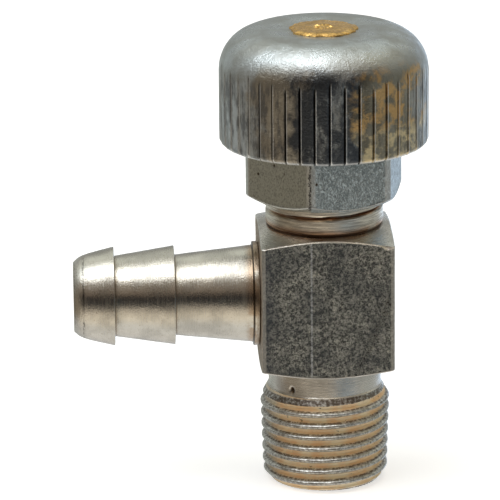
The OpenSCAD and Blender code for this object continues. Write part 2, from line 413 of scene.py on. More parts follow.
def drawn_nickel():
    """The block's drawn faces: dull plating over a coarse grain, with a die line on the front."""
    p = Paint("drawn_nickel")
    grain = p.noise(4.9, 5, 0.72, warp=0.5)
    fine = p.noise(10, 3, 0.7)
    cloud = p.noise(0.4, 3, 0.55)
    height = p.plus(p.times(grain, 0.65), p.times(fine, 0.35))
    colour = p.mix(p.step(height, 0.43, 0.58), (0.085, 0.09, 0.088), (0.46, 0.455, 0.41))
    colour = p.mix(p.step(height, 0.57, 0.64), colour, (0.72, 0.68, 0.56))
    colour = p.mix(p.step(cloud, 0.4, 0.62, 0.0, 0.45), colour, (0.08, 0.09, 0.1))
    front = p.step(p.axis("Y"), -4.9, -4.7, 1.0, 0.0)
    left_edge = p.times(p.step(p.axis("X"), -4.85, -3.6, 0.5, 0.0), front)
    colour = p.mix(left_edge, colour, (0.07, 0.08, 0.1))
    slant = p.plus(p.axis("X"), p.times(p.axis("Z"), -0.45))
    scrape = p.near(slant, -2.2, 0.1, 0.5)
    scrape = p.times(scrape, p.times(front, p.step(p.axis("X"), 1.8, 2.4)))
    colour = p.mix(p.times(scrape, p.step(grain, 0.52, 0.6)), colour, (0.02, 0.02, 0.022))
    line = p.near(p.axis("X"), -1.25, 0.03, 0.1)
    line = p.times(p.times(line, front), p.step(height, 0.4, 0.6, 0.25, 1.0))
    colour = p.mix(p.times(line, 0.75), colour, (0.7, 0.72, 0.74))
    side = p.step(p.axis("X"), -4.95, -4.88, 0.5, 0.0)
    colour = p.mix(side, colour, (0.5, 0.36, 0.24))
    wear_and_glint = p.step(p.wear(), 0.6, 0.95)
    colour = p.mix(wear_and_glint, colour, (0.78, 0.74, 0.66))
    rough = p.step(height, 0.35, 0.65, 0.6, 0.36)
    return p.done(colour, rough, p.bump(height, 0.17))


def turned_nickel(name, stretch, tint, gloss=0.0, stain_x=None):
    """Plating over turned faces: fine marks round the axis, a yellowish cast and small pits.

    stretch squeezes the marks along the axis they run round. stain_x is the X of a dark joint with a
    brown stain on both sides.
    """
    p = Paint(name)
    marks = p.noise(1.6, 3, 0.6, stretch)
    cloud = p.noise(0.5, 3, 0.6)
    speck = p.noise(9, 2, 0.6)
    dull = tuple(c * 0.74 for c in tint)
    colour = p.mix(p.step(cloud, 0.35, 0.68), tint, dull)
    colour = p.mix(p.step(speck, 0.6, 0.72, 0.0, 0.55), colour, (0.3, 0.24, 0.17))
    crease_darkening = p.step(p.wear(), 0.1, 0.45, 1.0, 0.0)
    colour = p.mix(p.times(crease_darkening, 0.8), colour, (0.22, 0.16, 0.1))
    if stain_x is not None:
        stain = p.times(p.near(p.axis("X"), stain_x, 0.1, 0.9), p.step(cloud, 0.38, 0.52))
        colour = p.mix(p.times(stain, 0.6), colour, (0.4, 0.25, 0.13))
        colour = p.mix(p.near(p.axis("X"), stain_x, 0.04, 0.1, 0.9), colour, (0.06, 0.045, 0.03))
    rough = p.step(marks, 0.3, 0.7, 0.2 - gloss, 0.34 - gloss)
    rough = p.plus(rough, p.step(cloud, 0.4, 0.7, 0.0, 0.08))
    height = p.plus(p.times(marks, 0.5), p.times(speck, 0.5))
    return p.done(colour, rough, p.bump(height, 0.028))


def stained_neck():
    """The neck's thread and band: brownish nickel with bronze stains in the grooves and at the base, and
    painted shade, nearly black, in the groove's bottom and the undercut at the base.
    """
    p = Paint("stained_neck")
    marks = p.noise(1.6, 4, 0.65, (0.35, 0.35, 9))
    cloud = p.noise(0.55, 3, 0.6)
    low = p.step(p.axis("Z"), BLOCK_TOP + 0.2, BLOCK_TOP + 0.75, 1.0, 0.0)
    colour = p.mix(p.step(marks, 0.35, 0.65), (0.88, 0.83, 0.72), (0.46, 0.42, 0.36))
    stain = p.math("MAXIMUM", p.step(p.wear(), 0.1, 0.45, 1.0, 0.0), p.times(low, 0.9))
    stain = p.times(stain, p.step(cloud, 0.32, 0.5, 0.25, 1.0))
    colour = p.mix(stain, colour, p.mix(p.step(marks, 0.35, 0.6), (0.72, 0.42, 0.24), (0.2, 0.1, 0.05)))
    # Painted shade: nearly black in the bottom of the thread groove and in the undercut at the neck's
    # base.
    crease_darkening = p.step(p.wear(), 0.0, 0.2, 1.0, 0.0)
    colour = p.mix(p.times(crease_darkening, 0.8), colour, (0.06, 0.04, 0.03))
    return p.done(colour, p.step(marks, 0.3, 0.7, 0.26, 0.42), p.bump(marks, 0.02))


def stained_nickel():
    """The inlet thread: grey crests, tan stains left in its roots and painted shade lines on its flanks.
    """
    p = Paint("stained_nickel")
    cloud = p.noise(0.7, 3, 0.6)
    fine = p.noise(4.5, 3, 0.6)
    marks = p.noise(1.6, 3, 0.6, (0.4, 0.4, 14))
    root = p.step(p.plus(p.wear(), p.times(fine, 0.2)), 0.32, 0.62, 1.0, 0.0)
    root = p.times(root, p.step(p.axis("X"), -4.6, -3.2, 0.35, 1.0))
    colour = p.mix(p.step(fine, 0.38, 0.62), (0.66, 0.66, 0.63), (0.36, 0.35, 0.32))
    warm = p.mix(p.step(cloud, 0.35, 0.65), (0.88, 0.64, 0.38), (0.92, 0.8, 0.58))
    colour = p.mix(root, colour, warm)
    # Painted shade: dark lines along the thread's flanks, between crest and root.
    flank = p.near(p.wear(), 0.5, 0.05, 0.16, 0.7)
    colour = p.mix(p.times(flank, p.step(fine, 0.35, 0.55)), colour, (0.12, 0.08, 0.055))
    speck = p.step(p.noise(2.4, 4, 0.7), 0.64, 0.7)
    colour = p.mix(p.times(speck, 0.85), colour, (0.08, 0.05, 0.03))
    rough = p.plus(p.step(marks, 0.3, 0.7, 0.26, 0.4), p.times(root, 0.2))
    dull = p.math("SUBTRACT", 1.0, p.times(root, 0.6))
    return p.done(colour, rough, p.bump(p.plus(marks, fine), 0.014), dull)


def zinc_steel():
    """The handwheel: blue-grey zinc, clouded, streaked and darkened below the shoulder by painted
    reflections (brown on the left, dark blotches in the middle, dark olive with orange and pale patches on
    the right), with painted shade in its grooves and a painted highlight beside them.
    """
    p = Paint("zinc_steel")
    cloud = p.noise(0.4, 4, 0.6)
    blotch = p.noise(0.75, 5, 0.7, (1, 1, 0.7), 0.4)
    fine = p.noise(6, 4, 0.7)
    drift = p.times(p.math("SUBTRACT", cloud, 0.5), 6)
    across = p.plus(p.axis("X"), drift)
    colour = p.mix(p.step(cloud, 0.35, 0.65), (0.58, 0.62, 0.63), (0.42, 0.43, 0.41))
    low = p.step(p.plus(p.axis("Z"), p.times(drift, 0.3)), 32.7, 33.8, 1.0, 0.0)
    # Painted reflection: brown on the left below the shoulder.
    brown = p.times(p.step(across, -5.8, -4.6), p.step(across, -2.6, -1.6, 1.0, 0.0))
    colour = p.mix(p.times(brown, p.times(low, 0.7)), colour, (0.36, 0.3, 0.21))
    streak = p.step(p.noise(1.5, 4, 0.7, (1, 1, 0.25)), 0.42, 0.6, 0.0, 0.75)
    streak = p.times(streak, p.step(p.axis("Z"), 31.5, 33.0, 1.0, 0.0))
    colour = p.mix(streak, colour, (0.12, 0.125, 0.13))
    # Painted reflection of a dark thing in front: near-black blotches in the middle below the shoulder.
    middle = p.times(p.step(across, -3.4, -2.2), p.step(across, 2.6, 4.2, 1.0, 0.0))
    dark = p.times(p.step(blotch, 0.36, 0.54, 0.35, 1.0), p.times(low, middle))
    colour = p.mix(p.times(dark, 0.95), colour, (0.058, 0.065, 0.075))
    # Painted reflection: dark olive on the right below the shoulder, with orange patches in it, pale
    # yellow lower down.
    right = p.times(p.step(across, 1.4, 2.6), p.step(across, 6.2, 7.4, 1.0, 0.0))
    warm_reflection_blobs = p.step(p.noise(0.9, 4, 0.6, (1, 1, 1), 0.2), 0.44, 0.6)
    colour = p.mix(p.times(right, p.times(low, 0.7)), colour, (0.24, 0.21, 0.14))
    warm_reflection_patches = p.times(warm_reflection_blobs, p.times(low, right))
    pale = p.step(p.axis("Z"), 28.2, 29.4, 1.0, 0.0)
    warm_reflection_colour = p.mix(pale, (0.74, 0.46, 0.18), (0.95, 0.78, 0.46))
    colour = p.mix(p.times(warm_reflection_patches, 0.75), colour, warm_reflection_colour)
    # Painted shade: nearly black in the grooves and other hollows.
    crease_darkening = p.step(p.wear(), 0.12, 0.42, 1.0, 0.0)
    colour = p.mix(p.times(crease_darkening, 0.85), colour, (0.05, 0.045, 0.04))
    # Light colour on outer edges: on the lower rim, and as a painted highlight on the burr beside each
    # groove.
    wear_and_glint = p.step(p.wear(), 0.62, 0.95)
    colour = p.mix(p.times(wear_and_glint, 0.75), colour, (0.82, 0.83, 0.82))
    rough = p.plus(p.step(cloud, 0.3, 0.7, 0.2, 0.34), p.times(fine, 0.08))
    rough = p.plus(rough, p.times(low, 0.06))
    return p.done(colour, rough, p.bump(p.plus(fine, p.times(blotch, 2)), 0.045))


def worn_zinc():
    """The gland nut: dull brownish on one side, blue-grey with fine scratches elsewhere, and pitted."""
    p = Paint("worn_zinc")
    cloud = p.noise(0.4, 3, 0.6)
    fine = p.noise(9, 3, 0.65, (1, 1, 0.6))
    scratch = p.noise(2.6, 5, 0.75, (1.3, 1.3, 0.9), 1.8)
    side = p.step(p.axis("X"), -1.45, -1.2)
    colour = p.mix(side, (0.52, 0.53, 0.46), (0.68, 0.78, 0.82))
    colour = p.mix(p.step(fine, 0.45, 0.65, 0.0, 0.6), colour, (0.2, 0.19, 0.18))
    colour = p.mix(p.times(side, p.step(scratch, 0.42, 0.54, 0.0, 0.7)), colour, (0.19, 0.23, 0.25))
    pits = p.step(p.cells(0.7), 0.06, 0.13)
    colour = p.mix(pits, (0.08, 0.06, 0.045), colour)
    wear_and_glint = p.step(p.wear(), 0.66, 0.9)
    colour = p.mix(p.times(wear_and_glint, 0.7), colour, (0.8, 0.8, 0.78))
    jagged = p.plus(p.axis("X"), p.times(p.math("SUBTRACT", scratch, 0.5), 0.9))
    seam = p.near(jagged, -1.4, 0.03, 0.11, 0.9)
    seam = p.times(seam, p.step(p.axis("Y"), -5.6, -5.3, 1.0, 0.0))
    colour = p.mix(seam, colour, (0.03, 0.03, 0.035))
    height = p.plus(p.times(scratch, p.plus(side, 0.3)), p.times(fine, 0.4))
    rough = p.step(scratch, 0.3, 0.7, 0.3, 0.45)
    return p.done(colour, rough, p.bump(height, 0.1))


def bare_brass(name="bare_brass", tint=(0.83, 0.56, 0.2), dirt=0.35):
    """Turned or peened brass, a little tarnished."""
    p = Paint(name)
    cloud = p.noise(1.3, 4, 0.65)
    fine = p.noise(7, 3, 0.65)
    colour = p.mix(p.step(cloud, 0.35, 0.65), tint, tuple(c * 0.6 for c in tint))
    colour = p.mix(p.step(fine, 0.5, 0.72, 0.0, dirt), colour, (0.2, 0.1, 0.03))
    crease_darkening = p.step(p.wear(), 0.1, 0.42, 1.0, 0.0)
    colour = p.mix(p.times(crease_darkening, 0.7), colour, (0.16, 0.08, 0.03))
    return p.done(colour, p.step(cloud, 0.3, 0.7, 0.22, 0.4), p.bump(fine, 0.03))


def packing_plastic():
    """White PTFE packing, which is slightly translucent, drawn opaque and dusty."""
    p = Paint("packing_plastic")
    cloud = p.noise(0.8, 3, 0.5)
    colour = p.mix(cloud, (0.86, 0.85, 0.82), (0.72, 0.7, 0.65))
    p.shader.inputs["Specular IOR Level"].default_value = 0.3
    return p.done(colour, p.step(cloud, 0.3, 0.7, 0.5, 0.65), p.bump(p.noise(6), 0.01), 0.0)


def polished_steel():
    """The closing ball."""
    p = Paint("polished_steel")
    haze = p.noise(2, 3, 0.5)
    colour = p.mix(haze, (0.8, 0.8, 0.81), (0.68, 0.68, 0.7))
    return p.done(colour, p.step(haze, 0.3, 0.7, 0.06, 0.14))


# ---------------------------------------------------------------- pieces


def body_rows():
    """The closed outline of the body, from the seat down, up the outside and down the stuffing box.

    In the rows between the bores, one of the two numbers is a share from 0 to 1 or isn't used, and
    body_shape turns the row into radii and heights.
    """
    inner = [
        (SEAT_R, SEAT_Z, 0, "bore", 0),
        (SEAT_R, INLET_BORE_TOP, 0.05, "bore", 0),
        (INLET_BORE_R, INLET_BORE_TOP, 0.05, "bore", 0),
        (INLET_BORE_R, 0, 0.15, "turned", 0),
        (INLET_R - INLET_DEPTH, 0, 0, "inlet", 0),
    ]
    rows = outline(inner, closed=False)
    rows_per_pitch = 18
    neck_rows = 64
    count = round(BLOCK_BOTTOM / INLET_PITCH * rows_per_pitch)
    heights = [BLOCK_BOTTOM * k / count for k in range(1, count)]
    rows += [(0, z, "inlet" if z < THREAD_END else "relief", 0.5) for z in heights]
    rows += [(t, 0, "cone_low", 0.5) for t in np.linspace(0, 1, 9)]
    rows += [(0, t, "edge_low", 1.0) for t in (0, 0.5, 1)]
    rows += [(0, t, "flank", 0.5) for t in np.linspace(0, 1, 24)]
    rows += [(0, t, "edge_high", 1.0) for t in (1, 0.5, 0)]
    rows += [(t, 0, "cone_high", 0.5) for t in np.linspace(1, 0, 9)]
    rows += [(0, BLOCK_TOP + NECK_HEIGHT * k / neck_rows, "neck", 0.5) for k in range(neck_rows)]
    rows += outline([
        (NECK_R - 0.55, NECK_TOP, 0, "turned", 0),
        (BOX_R, NECK_TOP, 0.05, "bore", 0),
        (BOX_R, BOX_Z, 0, "bore", 0),
        (SCREW_R + 0.05, BOX_Z, 0, "bore", 0),
        (SCREW_R + 0.05, CHAMBER_TOP, 0, "bore", 0),
        (CHAMBER_R, CHAMBER_TOP, 0, "bore", 0),
        (CHAMBER_R, SEAT_Z, 0, "bore", 0),
    ], closed=False)
    return rows


def inlet_surface(z, angles):
    """Radius and wear and shade number of the inlet's right-hand taper thread, cut off by a cone at each
    end. The number is low in the roots, which take the tan stain, and middling on the flanks, which take
    painted shade lines.
    """
    phase = (z - INLET_CREST) / INLET_PITCH - angles / (2 * math.pi)
    wave = thread_wave(phase, 0.12)
    crest = INLET_R + z * INLET_TAPER
    radius = crest - INLET_DEPTH * (1 - wave)
    nose = 4.12 + z * 0.95
    run_out = RELIEF_R + np.maximum(7.5 - z, 0) * 0.55
    clipped = np.minimum(np.minimum(radius, nose), run_out)
    if z > THREAD_END + 0.1:
        clipped = np.full_like(angles, RELIEF_R)
    if z > INLET_RUN_OUT:
        clipped = np.maximum(clipped, np.minimum(RELIEF_R - 0.02, radius + 1))
    wear = 0.15 + 0.6 * smooth(wave) * np.where(clipped < radius - 0.02, 0.7, 1.0)
    pit_across = RELIEF_R * (angles - math.radians(231)) / 0.16
    pit_along = (z - 7.75) / 0.2
    pit = np.exp(-(pit_across**2) - pit_along**2)
    return clipped - 0.4 * pit, np.where(z > THREAD_END, 0.5, wear) - pit


def neck_surface(z, angles):
    """Radius and wear and shade number of the neck: a plain band, then a thread that starts as one narrow
    groove. The number falls to 0 in the groove's bottom and the undercut, where painted shade goes.
    """
    height = z - BLOCK_TOP
    groove = neck_groove(z, angles)
    depth = 0.3 * smooth(height, 1.05, 1.3)
    undercut = 0.16 * (1 - smooth(height, 0.12, 0.24))
    top = np.maximum(height - 4.4, 0)
    radius = NECK_R - 0.02 - depth * groove - undercut - top
    wear = 0.5 - 0.5 * groove * smooth(height, 1.1, 1.5) - 0.5 * (1 - smooth(height, 0.1, 0.3))
    return radius, wear


def body_shape(kind, r, z, wear, angles):
    """Radii, heights and wear and shade numbers of one row of the body."""
    square = polygon_radius(angles, 4, BLOCK_HALF, math.pi / 4, BLOCK_EDGE)
    bevel = 0.07
    drop = (square - NECK_R) * SHOULDER
    low, high = BLOCK_BOTTOM + drop, BLOCK_TOP - drop
    nick = 0.22 * np.exp(-(((angles - math.radians(311.5)) / 0.035) ** 2))
    if kind in ("inlet", "relief") and z > 0:
        radius, thread_wear_and_shade = inlet_surface(z, angles)
        return radius, z, thread_wear_and_shade
    if kind == "neck":
        radius, neck_wear_and_shade = neck_surface(z, angles)
        return radius, z, neck_wear_and_shade
    if kind in ("cone_low", "cone_high"):
        inner = RELIEF_R if kind == "cone_low" else NECK_R
        radius = lerp(inner, square - bevel, r)
        slope = (radius - NECK_R) * SHOULDER
        height = BLOCK_BOTTOM + slope if kind == "cone_low" else BLOCK_TOP - slope
        return radius, height, wear
    if kind in ("edge_low", "edge_high"):
        radius = square - bevel * (1 - z) * 0.75 - bevel * 0.02
        edge = bevel * (0.15 + 0.85 * z)
        if kind == "edge_low":
            return radius, low + edge, wear
        return radius - nick * (1 - z) * 0.8, high - edge - nick * z, wear + 2 * nick
    if kind == "flank":
        height = lerp(low + bevel * 1.6, high - bevel * 1.6 - nick, z)
        x, y = square * np.cos(angles), square * np.sin(angles)
        rough = 0.012 * ripple(x, y, height, 2.2) + 0.008 * ripple(x, y, height, 5.0)
        radius = square - 0.02 + rough
        corner = smooth(square, BLOCK_HALF * 1.355, BLOCK_HALF * 1.375)
        return radius, height, wear + 0.25 * corner
    return r * np.ones_like(angles), z, wear


def make_body(paint):
    """The body: inlet thread, block, neck and the bores inside."""
    turned_kinds = ["bore", "turned", "relief", "cone_low", "cone_high", "edge_low", "edge_high"]
    kinds = dict.fromkeys(turned_kinds, paint["turned"])
    kinds.update(inlet=paint["thread"], neck=paint["neck"], flank=paint["drawn"])
    angles = corner_angles(296, 4, math.pi / 4, 0.75)
    piece = revolve("body_casting", body_rows(), angles, body_shape, kinds, "housing")
    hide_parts("valve_body")


def make_tail(paint):
    """The hose tail. Its outline's heights are distances from the tip, along +X."""
    length = TAIL_LENGTH
    rows = outline([
        (TAIL_BORE_R, 0.3, 0, "tail", 0),
        (2.3, 0.0, 0.1, "tail", 0),
        (2.62, 0.02, 0.05, "tail", 0),
        (3.0, 0.42, 0.3, "tail", 0.3),
        (3.26, 1.1, 0.3, "tail", 0.3),
        (3.75, 3.1, 0.05, "tail", 0),
        (3.05, 3.14, 0.05, "tail", 0.3),
        (3.75, 7.64, 0.05, "tail", 0),
        (3.05, 7.68, 0.05, "tail", 0.3),
        (3.68, length - 0.48, 0.04, "tail", 0),
        (COLLAR_R, length - 0.46, 0.08, "tail", 0),
        (COLLAR_R, length - 0.03, 0.08, "tail", 0),
        (2.75, length - 0.03, 0, "bore", 0),
        (2.75, length + 2, 0, "bore", 0),
        (TAIL_BORE_R, length + 2, 0, "bore", 0.6),
    ])

    def shape(kind, r, z, wear, angles):
        x, y = r * np.cos(angles), r * np.sin(angles)
        dent = 0.008 * ripple(x, y, z + 0 * angles, 1.1, 4.0) if r > TAIL_BORE_R + 0.1 else 0
        return np.minimum(r + dent, COLLAR_R), z, wear * np.ones_like(angles)

    def place(points):
        return np.stack([TAIL_TIP + points[:, 2], points[:, 0], TAIL_Z + points[:, 1]], axis=-1)

    kinds = {"tail": paint["tail"], "bore": paint["tail"]}
    piece = revolve("barbed_tail", rows, even_angles(160), shape, kinds, "housing", place=place)
    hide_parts("hose_tail")


def make_nut(paint):
    """The gland nut: a hexagon with turned corners, threaded inside up to its web."""
    z_low, z_top = NUT_LOW[2], NUT_HIGH[2]
    thread_top = NECK_TOP + 0.4
    face_r = NUT_HALF * 0.965
    chamfer = math.tan(math.radians(30))
    rows = [(t, 0, "face_low", 0.5) for t in np.linspace(0, 1, 4)]
    rows += [(t, 0, "chamfer_low", 0.5) for t in np.linspace(0.05, 0.96, 8)]
    rows += [(0, t, "rim_low", 0.9) for t in (0, 0.5, 1)]
    rows += [(0, t, "side", 0.5) for t in np.linspace(0, 1, 24)]
    rows += [(0, t, "rim_high", 0.9) for t in (1, 0.5, 0)]
    rows += [(t, 0, "chamfer_high", 0.5) for t in np.linspace(0.96, 0.05, 8)]
    rows += [(t, 0, "face_high", 0.5) for t in np.linspace(1, 0, 3)]
    rows += outline([
        (STEM_R + 0.15, z_top - 0.1, 0, "hole", 0),
        (STEM_R + 0.15, thread_top + 0.1, 0, "hole", 0),
        (BOX_R, thread_top + 0.1, 0, "hole", 0),
        (BOX_R, thread_top, 0, "hole", 0),
    ], closed=False)
    rows += [(0, lerp(thread_top, z_low + 0.02, t), "thread", 0.5) for t in np.linspace(0, 1, 61)]

    def shape(kind, r, z, wear, angles):
        hexagon = polygon_radius(angles, 6, NUT_HALF - 0.02, NUT_TURN, 0.2)
        hexagon = np.minimum(hexagon, NUT_HALF * 1.125)
        rise = np.maximum(hexagon - face_r, 0) * chamfer
        bevel = 0.06
        ones = np.ones_like(angles)
        if kind == "face_low":
            return lerp(NECK_R + 0.12, face_r, r) * ones, z_low, wear
        if kind == "face_high":
            return lerp(STEM_R + 0.25, face_r, r) * ones, z_top, wear
        if kind in ("chamfer_low", "chamfer_high"):
            radius = lerp(face_r, hexagon - bevel, r)
            height = (radius - face_r) * chamfer
            return radius, z_low + height if kind == "chamfer_low" else z_top - height, wear
        if kind in ("rim_low", "rim_high"):
            radius = hexagon - bevel * (1 - z) * 0.7
            height = rise + bevel * (0.2 + z)
            return radius, z_low + height if kind == "rim_low" else z_top - height, wear
        if kind == "side":
            height = lerp(z_low + rise + bevel * 1.8, z_top - rise - bevel * 1.8, z)
            x, y = hexagon * np.cos(angles), hexagon * np.sin(angles)
            rough = 0.012 * ripple(x, y, height, 0.9, 7.0) + 0.006 * ripple(x, y, height, 4.0)
            corner = smooth(hexagon, NUT_HALF * 1.1, NUT_HALF * 1.12)
            return hexagon - 0.015 + rough, height, wear + 0.3 * corner
        if kind == "thread":
            ridge = neck_groove(z, angles)
            return NECK_R + 0.07 - 0.34 * ridge * smooth(z - z_low, 0.0, 0.6), z, 0.2 + 0.3 * ridge
        return r * ones, z, wear

    kinds = {kind: paint["nut"] for r, z, kind, wear in rows}
    angles = corner_angles(432, 6, NUT_TURN, 0.8)
    piece = revolve("hex_gland_nut", rows, angles, shape, kinds, "housing")
    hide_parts("gland_nut")


def make_wheel(paint):
    """The handwheel: a pressed shell with rolled grooves round its side and a square hole."""
    inner_r = WHEEL_R - WHEEL_WALL
    shoulder_z = WHEEL_TOP - WHEEL_DOME - WHEEL_SHOULDER
    inner_round = WHEEL_SHOULDER - WHEEL_WALL
    ceiling = WHEEL_TOP - WHEEL_DOME - WHEEL_WALL
    rim = 0.42
    hole = TENON_HALF + 0.03

    def arc(r, z, radius, start, end, count, kind):
        return [
            (r + radius * math.cos(math.radians(t)), z + radius * math.sin(math.radians(t)), kind, 0.5)
            for t in np.linspace(start, end, count)
        ]

    flat_r = WHEEL_R - WHEEL_SHOULDER
    rows = [(hole, WHEEL_TOP - WHEEL_DISH - 0.2, "hole", 0.5)]
    for t in np.linspace(0, 1, 14):
        r = lerp(2.2, flat_r, t)
        dish = WHEEL_DISH * (1 - float(smooth(r, 2.4, 4.2)))
        rows.append((r, WHEEL_TOP - WHEEL_DOME * t**1.5 - dish, "top", 0.5))
    rows += arc(flat_r, shoulder_z, WHEEL_SHOULDER, 86, 0, 22, "top")
    side_low = WHEEL_Z + rim
    rows += [(WHEEL_R, lerp(shoulder_z, side_low, t), "side", 0.5) for t in np.linspace(0.06, 1, 16)]
    rows += arc(WHEEL_R - rim, side_low, rim, -12, -90, 8, "side")
    rows += arc(inner_r + 0.2, WHEEL_Z + 0.2, 0.2, -90, -180, 5, "inside")
    rows += [(inner_r, lerp(WHEEL_Z + 0.3, shoulder_z, t), "inside", 0.5) for t in np.linspace(0, 1, 10)]
    rows += arc(inner_r - inner_round, shoulder_z, inner_round, 8, 90, 10, "inside")
    rows += [(2.5, ceiling, "inside", 0.5), (hole, ceiling, "hole", 0.5)]
    spacing = 2 * math.pi / GROOVES

    def wheel_angles():
        """Angles that crowd together at the grooves."""
        left = [-0.4, -0.3, -0.2, -0.12, -0.08, -0.04]
        right = [0.04, 0.08, 0.12, 0.16, 0.22, 0.3, 0.4]
        offsets = np.array([*left, 0, *right])
        return np.concatenate([(k + offsets) * spacing for k in range(GROOVES)]) % (2 * math.pi)

    def shape(kind, r, z, wear, angles):
        ones = np.ones_like(angles)
        if kind == "hole":
            return polygon_radius(angles, 4, hole, math.pi / 4, 0.1), z, wear
        if kind == "inside":
            return r * ones, z, wear * ones
        x, y = r * np.cos(angles), r * np.sin(angles)
        dent = 0.022 * ripple(x, y, z * ones, 0.55) + 0.007 * ripple(x, y, z * ones, 1.7, 3.0)
        number = np.round(angles / spacing) % GROOVES
        jitter = 0.05 * np.sin(number * 12.9)
        across = ((angles / spacing + 0.5) % 1 - 0.5 - jitter) * spacing * WHEEL_R
        top = shoulder_z + 0.55 + 0.35 * np.sin(number * 7.3) * np.cos(number * 2.1)
        along = 1 - smooth(z, top - 0.5, top + 0.15)
        cut_in = np.clip(1 - np.abs(across) / 0.1, 0, 1) * along
        burr = np.exp(-(((across - 0.13) / 0.045) ** 2)) * along
        depth = 0.17 * (0.85 + 0.15 * np.sin(number * 5.1))
        radius = np.minimum(r - 0.03 + dent + 0.03 * burr, r - 0.003) - depth * cut_in
        # The number falls to 0 inside each groove, where the material paints shade, rises on the burr
        # beside it, where it paints a highlight, and rises at the lower rim, which it lightens.
        groove_shade_and_glint = 0.5 - 0.5 * smooth(cut_in, 0.1, 0.8) + 0.5 * burr
        low_rim = 0.45 * (1 - smooth(z, WHEEL_Z + 0.08, WHEEL_Z + 0.4))
        lift = dent * 0.5 if kind == "top" and r < flat_r else 0
        return radius, z + lift * ones, groove_shade_and_glint + low_rim

    kinds = dict.fromkeys(["hole", "top", "side", "inside"], paint["wheel"])
    piece = revolve("pressed_handwheel", rows, wheel_angles(), shape, kinds, "spindle")
    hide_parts("handwheel")


def make_spindle(paint):
    """The spindle: ball socket, lifting thread, stem, flange, square end and peened head."""
    ball_z = (BALL_LOW[2] + BALL_HIGH[2]) / 2
    ball_r = (BALL_HIGH[2] - BALL_LOW[2]) / 2 + 0.03
    nose_z = SPINDLE_LOW[2]
    nose_r = 2.05
    flange_top = WHEEL_TOP - WHEEL_DOME - WHEEL_WALL - 0.03
    flange_height = 1.1
    flange_r = 3.0
    socket = [
        (ball_r * math.sin(math.radians(t)), ball_z + ball_r * math.cos(math.radians(t)), "socket", 0.5)
        for t in range(0, 91, 10)
    ]
    rows = socket + outline([
        (ball_r, nose_z, 0, "turned", 0),
        (nose_r, nose_z, 0.12, "turned", 0),
        (nose_r, SCREW_LOW - 0.05, 0, "turned", 0),
    ], closed=False)
    rows += [(0, lerp(SCREW_LOW, SCREW_HIGH, t), "screw", 0.5) for t in np.linspace(0, 1, 67)]
    rows += outline([
        (STEM_R, SCREW_HIGH + 0.05, 0, "turned", 0),
        (STEM_R, flange_top - flange_height, 0, "turned", 0),
        (flange_r, flange_top - flange_height, 0.08, "turned", 0),
        (flange_r, flange_top, 0.08, "turned", 0),
        (TENON_HALF, flange_top, 0, "tenon", 0),
        (TENON_HALF, WHEEL_TOP - WHEEL_DISH - 0.02, 0, "head", 0),
    ], closed=False)
    base = WHEEL_TOP - WHEEL_DISH
    head_r = 2.6
    head_height = 0.297
    rows += [(lerp(TENON_HALF, head_r - 0.05, t), base - 0.04 * t, "under", 0.5) for t in (0.3, 0.7, 1)]
    rows += [(head_r - 0.02, base + 0.04, "head", 0.7), (head_r - 0.06, base + 0.1, "head", 0.8)]
    rows += [(head_r * t, base, "head", 0.5) for t in np.linspace(0.95, 0.02, 34)]
    rows += [(0, base, "head", 0.5)]

    def shape(kind, r, z, wear, angles):
        ones = np.ones_like(angles)
        if kind == "screw":
            wave = thread_wave(z / SCREW_PITCH - angles / (2 * math.pi), 0.15)
            fade = smooth(z, SCREW_LOW, SCREW_LOW + 0.3) * (1 - smooth(z, SCREW_HIGH - 0.3, SCREW_HIGH))
            return (SCREW_R - 0.42) + 0.4 * wave * fade, z, 0.2 + 0.5 * wave
        if kind == "tenon":
            return polygon_radius(angles, 4, TENON_HALF, math.pi / 4, 0.1), z, wear
        if kind in ("head", "under"):
            ragged = 0.07 * np.sin(5 * angles + 1.2) + 0.06 * np.sin(9 * angles)
            ragged += 0.05 * np.sin(17 * angles + 2)
            outer = smooth(r, head_r * 0.7, head_r)
            radius = np.minimum(r * ones + ragged * outer - 0.06 * outer, head_r)
            if kind == "under" or z > base:
                return radius, z, wear
            share = r / head_r
            plate = 0.55 * (1 - smooth(share, 0.82, 1.0)) + 0.1 * (1 - smooth(share, 0.2, 0.8))
            x, y = radius * np.cos(angles), radius * np.sin(angles)
            uneven = 0.12 * ripple(x, y, z * ones, 1.3, 5.0) + 0.08 * ripple(x, y, z * ones, 3.1, 2.0)
            petals = 0.5 + 0.5 * np.cos(7 * angles + 0.8)
            ring = np.exp(-(((share - 0.2) / 0.06) ** 2))
            pip = 0.55 * ring * petals - 0.3 * ring * (1 - petals) - 0.2 * math.exp(-((share / 0.06) ** 2))
            level = np.clip(plate + uneven * (1 - smooth(share, 0.9, 1.0)) + pip + 0.05, 0.1, 1.0)
            return radius, base + 0.02 + head_height * level, 0.45 + 0.5 * pip
        return r * ones, z, wear

    kinds = dict.fromkeys(["socket", "turned", "screw", "tenon"], paint["brass"])
    kinds.update(dict.fromkeys(["head", "under"], paint["rivet"]))
    piece = revolve("riveted_spindle", rows, even_angles(144), shape, kinds, "spindle", closed=False)
    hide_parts("spindle")


def paint_nodes(paint):
    """Better materials for the CAD nodes that stay."""
    looks = {
        "closing_ball": "ball", "packing_washer": "brass", "gland_follower": "brass",
        "packing_ring_lower": "packing", "packing_ring_middle": "packing", "packing_ring_upper": "packing",
    }
    for name, look in looks.items():
        node = frame["nodes"][name]
        node.data.materials.clear()
        node.data.materials.append(paint[look])


# ---------------------------------------------------------------- room, light and camera


def direction(azimuth, elevation):
    """A unit vector. Azimuth 0 points out of the block's front, -Y, and grows towards +X."""
    a, e = math.radians(azimuth), math.radians(elevation)
    return Vector((math.sin(a) * math.cos(e), -math.cos(a) * math.cos(e), math.sin(e)))


